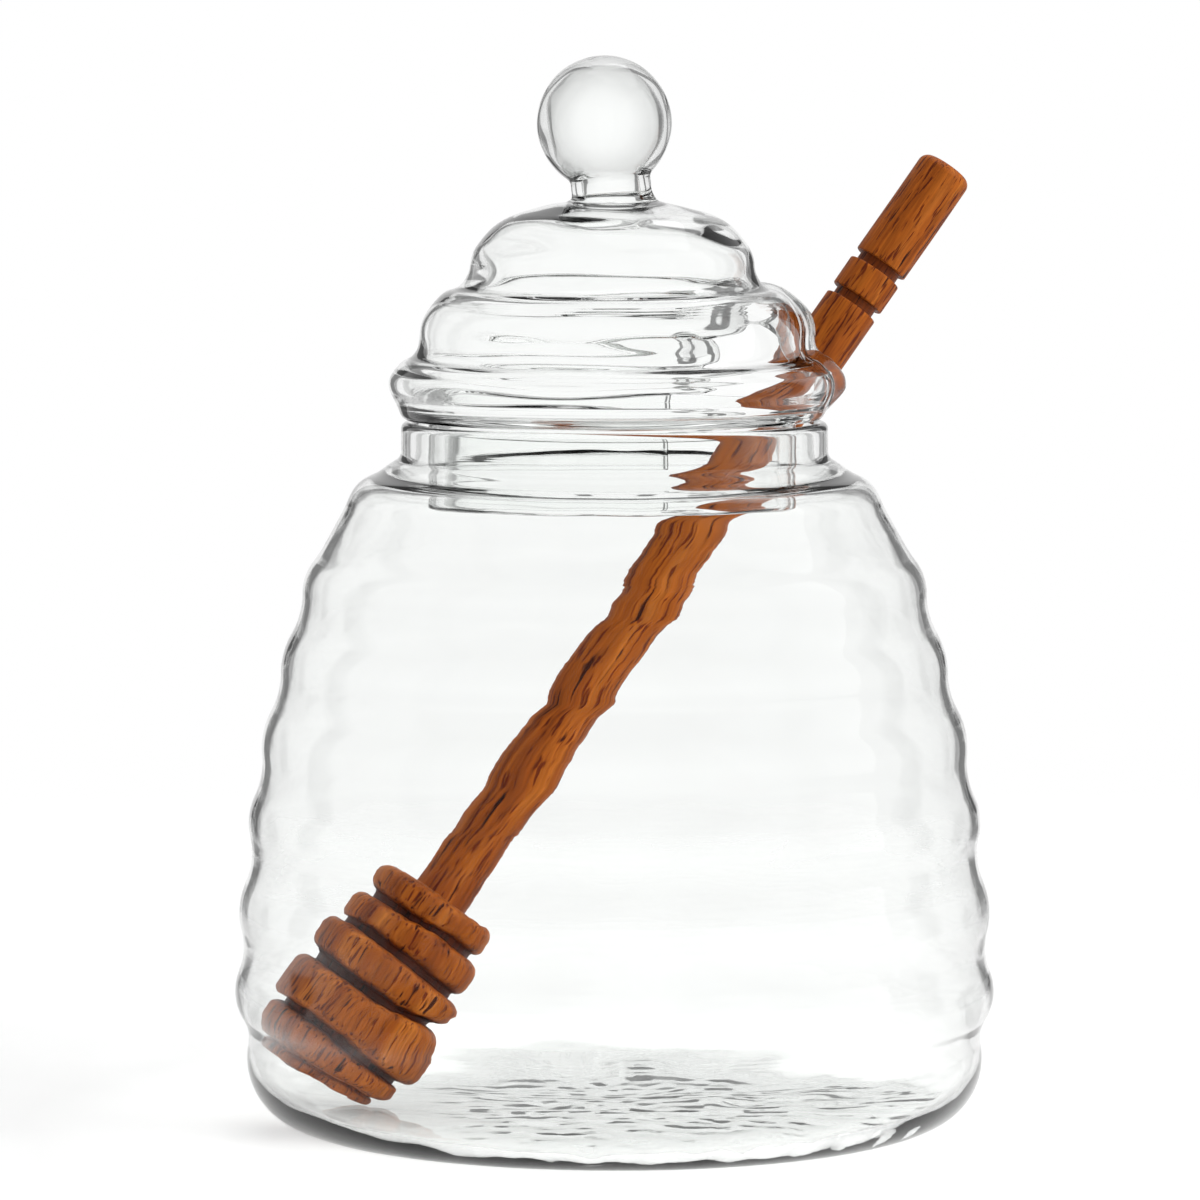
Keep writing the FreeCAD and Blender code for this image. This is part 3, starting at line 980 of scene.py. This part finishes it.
def ring_bands_of_painted_shade(tree, height):
    """Painted shade in soft bands by height, a little greyer in every groove of the mould's rings.
    """
    bands = [(foot_share, grey(1.0))]
    for crest_share, _, groove_share, _ in hive_rings:
        bands += [(crest_share, grey(1.0)), (groove_share, grey(mould_ring_painted_shade))]
    return ramp(tree, maths(tree, "DIVIDE", height, hive_height * MM), *bands, (1.0, grey(1.0)))


def glass_tint_and_painted_shade(tree, place):
    """The glass's tint and painted shade, by how it is turned, how high it lies and whether it is in
    the bead.
    """
    facing = node(tree, "ShaderNodeLayerWeight", {"Blend": 0.5}).outputs["Facing"]
    # each ramp holds the glass's tint and the painted shade of its dark edges
    wall, thick = (ramp(tree, facing, *[(stop, glass_grey(level)) for stop, level in tint])
                   for tint in (wall_tint_and_edge_shade, knob_tint_and_edge_shade))
    height = node(tree, "ShaderNodeSeparateXYZ", {"Vector": place}).outputs["Z"]
    # painted shade in the grooves of the mould
    wall = shaded(tree, wall, ring_bands_of_painted_shade(tree, height))
    in_knob = mapped(tree, height, ((dome_top + knob_from) * MM, (dome_top + knob_to) * MM))
    in_bead = node(tree, "ShaderNodeAttribute", attribute_name="bead").outputs["Fac"]
    return node(tree, "ShaderNodeMix", {
        "Factor": maths(tree, "MAXIMUM", in_knob, in_bead), 6: wall, 7: thick},
        data_type="RGBA").outputs[2]


print("a blown wall keeps", wall_tint_and_edge_shade[0][1], "of the light face on and", wall_tint_and_edge_shade[-1][1], "edge on")

# %% [markdown]
# Otherwise clear glass shows itself only by what it bends and mirrors. A Glass shader does both.
# A Principled shader with full transmission is used because it also carries to other programs.
# Its Specular Tint dims what a face turned to the eye mirrors, because the room behind the
# viewer is dark, while edges still mirror the white walls. Lamps have to reach the dipper
# inside, which refraction alone leaves dark, so shadow rays pass almost freely.

# %% Clear glass
glass_ior = 1.47
shadow_pass = 0.86          # light that a shadow ray keeps at each face of the glass
facing_mirror = 0.07        # how much a face turned to the eye mirrors
cord_scale, cord_stretch, cord_bump, cord_depth = 42.0, (1.0, 1.0, 5.0), 0.16, 0.4 * MM
film_scale, film_span, film_rough = 130.0, (0.35, 0.75), (0.0, 0.018)


def clear_glass(name, seed):
    material, tree, output = shader_tree(name)
    place = node(tree, "ShaderNodeTexCoord").outputs["Object"]
    # faint drawn cords in the glass, and a film of handling that dulls it by patches
    drawn = node(tree, "ShaderNodeMapping", {
        "Vector": place, "Location": (seed, seed, seed), "Scale": cord_stretch})
    cords = node(tree, "ShaderNodeTexNoise", {
        "Vector": drawn.outputs[0], "Scale": cord_scale, "Detail": 2.0, "Roughness": 0.5})
    bump = node(tree, "ShaderNodeBump", {
        "Height": cords.outputs["Fac"], "Strength": cord_bump, "Distance": cord_depth})
    film = node(tree, "ShaderNodeTexNoise", {
        "Vector": place, "Scale": film_scale, "Detail": 3.0})
    glass = node(tree, "ShaderNodeBsdfPrincipled", {
        "Base Color": glass_tint_and_painted_shade(tree, place), "IOR": glass_ior,
        "Roughness": mapped(tree, film.outputs["Fac"], film_span, film_rough),
        "Transmission Weight": 1.0, "Specular Tint": (*grey(facing_mirror), 1),
        "Normal": bump.outputs[0]})
    clear = node(tree, "ShaderNodeBsdfTransparent", {"Color": (*glass_grey(shadow_pass), 1)})
    in_shadow = node(tree, "ShaderNodeLightPath").outputs["Is Shadow Ray"]
    glass_or_clear = mixed(tree, in_shadow, glass.outputs[0], clear.outputs[0])
    tree.links.new(glass_or_clear, output.inputs["Surface"])
    return material


for piece, name, seed in ((pot, "clear_glass_pot", 0.0), (lid, "clear_glass_lid", 3.7)):
    piece.data.materials.append(clear_glass(name, seed))
    print(piece.name, "has", piece.data.materials[0].name)

# %% [markdown]
# The wood is warm orange-brown, with short dark pores that run along the stick, across the rims
# of the discs as well. It could be a picture of wood wrapped round the stick, but the grain
# would then bend with the discs. Here it is one 3-D pattern in the stick's own space, stretched
# along its axis, so that it cuts straight through every disc as it does in real turned wood.
# The grooves are darkened by the attribute that was stored with the mesh, partly as the turning's
# burn lines and partly as painted shade.

# %% Turned wood
# Four patterns: how fine across, how fine along, then detail, roughness and distortion.
ring_grain = ((420, 160, 18), 4.0, 0.6, 0.6)
fibre_grain = ((2600, 2600, 150), 3.0, 0.65, 0.0)
pore_grain = ((2300, 2300, 260), 2.0, 0.5, 0.25)
check_grain = ((1150, 1150, 95), 2.0, 0.55, 0.4)
wood_tones = ((0.28, (0.15, 0.028, 0.002)), (0.42, (0.30, 0.066, 0.005)),
              (0.56, (0.44, 0.112, 0.010)), (0.75, (0.64, 0.205, 0.030)))
fibre_tones = ((0.3, grey(0.62)), (0.65, grey(1.10)))
pore_tones = ((0.36, (0.34, 0.20, 0.14)), (0.43, grey(1.0)))
check_tones = ((0.315, (0.10, 0.05, 0.03)), (0.365, grey(1.0)))
# darker deeper in a groove: the turning's burn lines and painted shade
groove_burn_and_shade_tones = ((0.25, grey(1.0)), (0.72, (0.50, 0.42, 0.36)), (1.0, (0.20, 0.10, 0.06)))
fibre_span, wood_rough, wood_mirror = (0.3, 0.7), (0.38, 0.58), 0.12
fibre_height, wood_bump, wood_depth = 0.25, 0.5, 0.1 * MM


def turned_wood(name):
    material, tree, output = shader_tree(name)
    place = node(tree, "ShaderNodeMapping", {
        "Vector": node(tree, "ShaderNodeTexCoord").outputs["Object"],
        "Location": stick_tip * MM, "Rotation": stick_turn.to_euler()},
        vector_type="TEXTURE").outputs[0]

    def grain(scale, detail, roughness, distortion):
        stretched = node(tree, "ShaderNodeMapping", {"Vector": place, "Scale": scale})
        return node(tree, "ShaderNodeTexNoise", {
            "Vector": stretched.outputs[0], "Scale": 1.0, "Detail": detail,
            "Roughness": roughness, "Distortion": distortion}).outputs["Fac"]

    base = ramp(tree, grain(*ring_grain), *wood_tones)
    fibres = grain(*fibre_grain)
    pores = ramp(tree, grain(*pore_grain), *pore_tones)
    checks = ramp(tree, grain(*check_grain), *check_tones)
    groove = node(tree, "ShaderNodeAttribute", attribute_name="groove").outputs["Fac"]
    colour = shaded(tree, base, ramp(tree, fibres, *fibre_tones), pores, checks,
                    ramp(tree, groove, *groove_burn_and_shade_tones))
    height = maths(tree, "ADD", maths(tree, "MULTIPLY", checks, pores),
                   maths(tree, "MULTIPLY", fibres, fibre_height))
    bump = node(tree, "ShaderNodeBump", {
        "Height": height, "Strength": wood_bump, "Distance": wood_depth})
    wood = node(tree, "ShaderNodeBsdfPrincipled", {
        "Base Color": colour, "Roughness": mapped(tree, fibres, fibre_span, wood_rough),
        "Specular IOR Level": wood_mirror, "Normal": bump.outputs[0]})
    tree.links.new(wood.outputs[0], output.inputs["Surface"])
    return material


dipper.data.materials.append(turned_wood("turned_wood"))
print(dipper.name, "has", dipper.data.materials[0].name)

# %% [markdown]
# Glass is drawn by its surroundings. They could be eight real panels round the table, but those
# would cast shadows. So the world itself is the room: white all round, with narrow dark strips
# that stand between the eight main directions, so that the pot looks alike from all sides. The
# middle of each wall stays clear while its edges gather the strips into thin dark lines. The
# camera itself sees plain white, and the wood gets a softer, even light.

# %% The room
room_strips = 8
strip_edge = (-0.82, -0.55)             # of the cosine that beats once for each strip
zenith_edge, zenith_dark = (0.80, 0.96), 0.25
room_white, strip_dark, soft_light = 1.0, 0.25, 0.42


def white_light(tree, strength):
    return node(tree, "ShaderNodeBackground", {
        "Color": (1, 1, 1, 1), "Strength": strength}).outputs[0]


def room_level(tree):
    """How bright the room is in each direction: darker in the strips and overhead."""
    place = node(tree, "ShaderNodeTexCoord").outputs["Generated"]
    parts = node(tree, "ShaderNodeSeparateXYZ", {"Vector": place}).outputs
    turn = maths(tree, "ARCTAN2", parts["Y"], parts["X"])
    beat = maths(tree, "COSINE", maths(tree, "MULTIPLY", turn, float(room_strips)))
    between = mapped(tree, beat, strip_edge, interpolation_type="SMOOTHSTEP")
    overhead = mapped(tree, parts["Z"], zenith_edge, (1.0, zenith_dark),
                      interpolation_type="SMOOTHSTEP")
    lit = maths(tree, "MULTIPLY", between, overhead)
    return mapped(tree, lit, (0.0, 1.0), (strip_dark, room_white))


def make_room():
    world = bpy.data.worlds.new("studio")
    bpy.context.scene.world = world
    world.use_nodes = True
    tree = world.node_tree
    tree.nodes.clear()
    output = tree.nodes.new("ShaderNodeOutputWorld")
    path = node(tree, "ShaderNodeLightPath").outputs
    around = mixed(tree, path["Is Diffuse Ray"], white_light(tree, room_level(tree)),
                   white_light(tree, soft_light))
    seen = mixed(tree, path["Is Camera Ray"], around, white_light(tree, 1.0))
    tree.links.new(seen, output.inputs["Surface"])
    return world


room = make_room()
print("room:", room.name, "with", room_strips, "dark strips")

# %% [markdown]
# The table. A plane that runs to the horizon would show its far edge through the glass. This one is
# a round top whose far part fades into the white of the room. It also carries painted light: a faint
# glow that keeps it as white as the room, and a brighter painted ring of light along the foot of the
# pot, where the thick glass would otherwise gather only shade.

# %% Table
table_radius, table_drop = 0.75, 0.0002
fade_span, mottle_scale = (0.10, 0.42), 60.0
table_tones = ((0.3, grey(0.82)), (0.7, grey(0.85)))
painted_glow_span = 0.1             # metres from the middle over which the glow's stops are counted
# painted light: a faint glow, brightest in a ring along the foot of the pot
painted_glow_tones = ((0.34, grey(0.17)), (0.45, grey(0.42)), (0.55, grey(0.42)), (0.80, grey(0.21)))


def pale_table(name):
    material, tree, output = shader_tree(name)
    place = node(tree, "ShaderNodeTexCoord").outputs["Object"]
    away = node(tree, "ShaderNodeVectorMath", {0: place}, operation="LENGTH").outputs["Value"]
    fade = mapped(tree, away, fade_span, interpolation_type="SMOOTHSTEP")
    mottle = node(tree, "ShaderNodeTexNoise", {
        "Vector": place, "Scale": mottle_scale, "Detail": 3.0})
    tone = ramp(tree, mottle.outputs["Fac"], *table_tones)
    matt = node(tree, "ShaderNodeBsdfDiffuse", {"Color": tone})
    # the painted light, left out for diffuse rays
    painted_glow = node(tree, "ShaderNodeEmission", {
        "Color": ramp(tree, maths(tree, "MULTIPLY", away, 1 / painted_glow_span), *painted_glow_tones),
        "Strength": 1.0})
    lit = node(tree, "ShaderNodeAddShader", {0: matt.outputs[0], 1: painted_glow.outputs[0]})
    for_wood = node(tree, "ShaderNodeLightPath").outputs["Is Diffuse Ray"]
    white = mixed(tree, for_wood, lit.outputs[0], matt.outputs[0])
    clear = node(tree, "ShaderNodeBsdfTransparent")
    tree.links.new(mixed(tree, fade, white, clear.outputs[0]), output.inputs["Surface"])
    return material


def make_table():
    mesh = bpy.data.meshes.new("table")
    work = bmesh.new()
    bmesh.ops.create_circle(work, cap_ends=True, segments=96, radius=table_radius)
    work.to_mesh(mesh)
    work.free()
    table = bpy.data.objects.new("table", mesh)
    bpy.context.scene.collection.objects.link(table)
    table.location.z = -table_drop
    mesh.materials.append(pale_table("pale_table"))
    return table


table = make_table()
print("table:", 2 * table_radius, "m across")

# %% [markdown]
# Lamps. Product glass is lit by large soft lamps, never by small hard ones. Their pictures in
# the glass could spoil it, so none of them shows through the glass, and the fill isn't mirrored
# either. The key lamp stands to the right and before the pot, and gives the wood its bright side
# and the table a faint shadow to the left.

# %% Lamps
pot_middle = (0, 0, pot_high[2] / 2 * MM)
# Each lamp: name, place and size in metres, power in watts, and whether it is mirrored.
lamps = (
    ("key", (0.98, -0.42, 0.48), 1.10, 9.5, True),
    ("fill", (-0.6, -0.4, 0.35), 0.40, 0.5, False),
    ("top", (0.15, 0.10, 0.80), 0.60, 2.8, True),
)


def make_lamp(name, place, size, power, mirrored):
    data = bpy.data.lights.new(name, "AREA")
    data.shape, data.size, data.energy = "SQUARE", size, power
    made = bpy.data.objects.new(name, data)
    bpy.context.scene.collection.objects.link(made)
    made.location = place
    aim = Vector(pot_middle) - Vector(place)
    made.rotation_euler = aim.to_track_quat("-Z", "Y").to_euler()
    made.visible_transmission = False
    made.visible_glossy = mirrored


for lamp in lamps:
    make_lamp(*lamp)
    print("lamp:", lamp[0], lamp[3], "W")

# %% [markdown]
# The camera stands nearly a metre away and a little higher than the knob, and looks at the middle
# of the pot. Closer, the pot would swell towards the eye. A long lens keeps its outline true.

# %% Camera
eye_distance, eye_height, eye_side, aim_height = 0.910, 0.149, -0.00197, 0.0711
lens, sensor = 202.0, 36.0
camera_data = bpy.data.cameras.new("camera")
camera_data.lens, camera_data.sensor_width = lens, sensor
camera_data.clip_start, camera_data.clip_end = 0.05, 20
camera = bpy.data.objects.new("camera", camera_data)
bpy.context.scene.collection.objects.link(camera)
camera.location = (eye_side, -eye_distance, eye_height)
sight = Vector((eye_side, 0, aim_height)) - camera.location
camera.rotation_euler = sight.to_track_quat("-Z", "Y").to_euler()
bpy.context.scene.camera = camera
bpy.context.scene.view_settings.view_transform = "Standard"
print("camera:", round(sight.length, 3), "m from where it looks")
